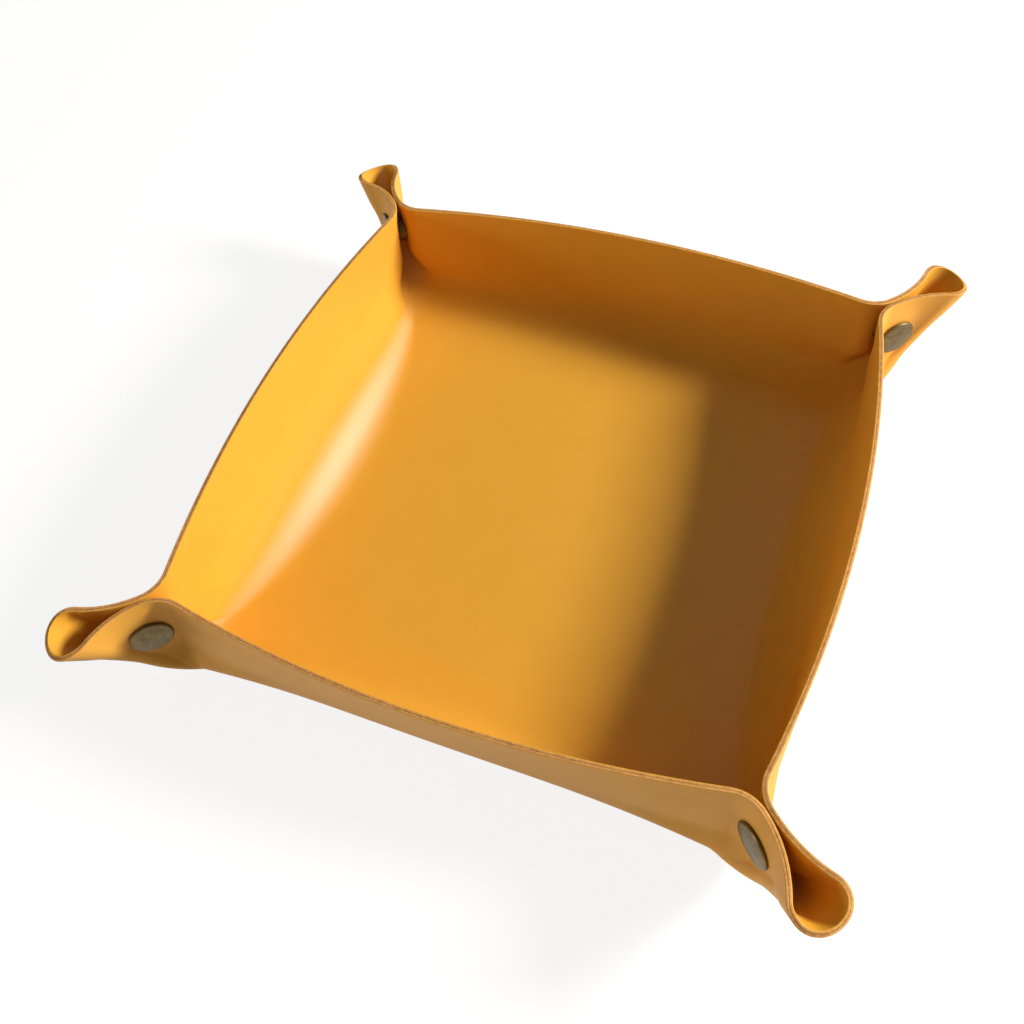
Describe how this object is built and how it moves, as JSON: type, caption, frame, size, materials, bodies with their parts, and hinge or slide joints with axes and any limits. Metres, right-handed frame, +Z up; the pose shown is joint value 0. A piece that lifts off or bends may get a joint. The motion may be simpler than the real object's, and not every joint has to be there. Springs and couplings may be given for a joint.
{
  "type": "valet tray",
  "caption": "Square catch-all tray formed from a bonded leather sheet, its corners pinched into teardrop ears that are held by brass press snaps and open outward.",
  "frame": {"origin": "centre of the tray's underside, on the surface that it rests on", "axes": "+Z up out of the tray, +X towards the right wall and +Y towards the back wall as seen from the front"},
  "size_m": [0.2618, 0.2618, 0.045],
  "materials": {
    "leather": "satin, fine grain",
    "cap_brass": "antique satin",
    "snap_brass": "antique satin",
    "spring_steel": "satin"
  },
  "bodies": {
    "tray": {"tray_sheet": "leather"},
    "front_left_socket_flap": {"front_left_socket_ear": "leather", "front_left_socket_cap": "cap_brass", "front_left_socket": "snap_brass", "front_left_spring": "spring_steel"},
    "front_left_stud_flap": {"front_left_stud_ear": "leather", "front_left_stud_cap": "cap_brass", "front_left_stud": "snap_brass"},
    "front_right_socket_flap": {"front_right_socket_ear": "leather", "front_right_socket_cap": "cap_brass", "front_right_socket": "snap_brass", "front_right_spring": "spring_steel"},
    "front_right_stud_flap": {"front_right_stud_ear": "leather", "front_right_stud_cap": "cap_brass", "front_right_stud": "snap_brass"},
    "back_right_socket_flap": {"back_right_socket_ear": "leather", "back_right_socket_cap": "cap_brass", "back_right_socket": "snap_brass", "back_right_spring": "spring_steel"},
    "back_right_stud_flap": {"back_right_stud_ear": "leather", "back_right_stud_cap": "cap_brass", "back_right_stud": "snap_brass"},
    "back_left_socket_flap": {"back_left_socket_ear": "leather", "back_left_socket_cap": "cap_brass", "back_left_socket": "snap_brass", "back_left_spring": "spring_steel"},
    "back_left_stud_flap": {"back_left_stud_ear": "leather", "back_left_stud_cap": "cap_brass", "back_left_stud": "snap_brass"}
  },
  "joints": [
    {"name": "front_left_socket_flap_fold", "type": "hinge", "parent": "tray", "child": "front_left_socket_flap", "pos_m": [-0.10885, -0.10885, 0.011], "axis": [0.4768, 0.4768, -0.7385], "range_deg": [0, 40], "deforming": ["front_left_spring"]},
    {"name": "front_left_stud_flap_fold", "type": "hinge", "parent": "tray", "child": "front_left_stud_flap", "pos_m": [-0.10885, -0.10885, 0.011], "axis": [-0.4768, -0.4768, 0.7385], "range_deg": [0, 40]},
    {"name": "front_right_socket_flap_fold", "type": "hinge", "parent": "tray", "child": "front_right_socket_flap", "pos_m": [0.10885, -0.10885, 0.011], "axis": [0.4768, -0.4768, 0.7385], "range_deg": [0, 40], "deforming": ["front_right_spring"]},
    {"name": "front_right_stud_flap_fold", "type": "hinge", "parent": "tray", "child": "front_right_stud_flap", "pos_m": [0.10885, -0.10885, 0.011], "axis": [-0.4768, 0.4768, -0.7385], "range_deg": [0, 40]},
    {"name": "back_right_socket_flap_fold", "type": "hinge", "parent": "tray", "child": "back_right_socket_flap", "pos_m": [0.10885, 0.10885, 0.011], "axis": [-0.4768, -0.4768, -0.7385], "range_deg": [0, 40], "deforming": ["back_right_spring"]},
    {"name": "back_right_stud_flap_fold", "type": "hinge", "parent": "tray", "child": "back_right_stud_flap", "pos_m": [0.10885, 0.10885, 0.011], "axis": [0.4768, 0.4768, 0.7385], "range_deg": [0, 40]},
    {"name": "back_left_socket_flap_fold", "type": "hinge", "parent": "tray", "child": "back_left_socket_flap", "pos_m": [-0.10885, 0.10885, 0.011], "axis": [-0.4768, 0.4768, 0.7385], "range_deg": [0, 40], "deforming": ["back_left_spring"]},
    {"name": "back_left_stud_flap_fold", "type": "hinge", "parent": "tray", "child": "back_left_stud_flap", "pos_m": [-0.10885, 0.10885, 0.011], "axis": [0.4768, -0.4768, -0.7385], "range_deg": [0, 40]}
  ],
  "couplings": [
    {"joint": "front_left_stud_flap_fold", "follows": "front_left_socket_flap_fold", "ratio": 1},
    {"joint": "front_right_stud_flap_fold", "follows": "front_right_socket_flap_fold", "ratio": 1},
    {"joint": "back_right_stud_flap_fold", "follows": "back_right_socket_flap_fold", "ratio": 1},
    {"joint": "back_left_stud_flap_fold", "follows": "back_left_socket_flap_fold", "ratio": 1}
  ]
}
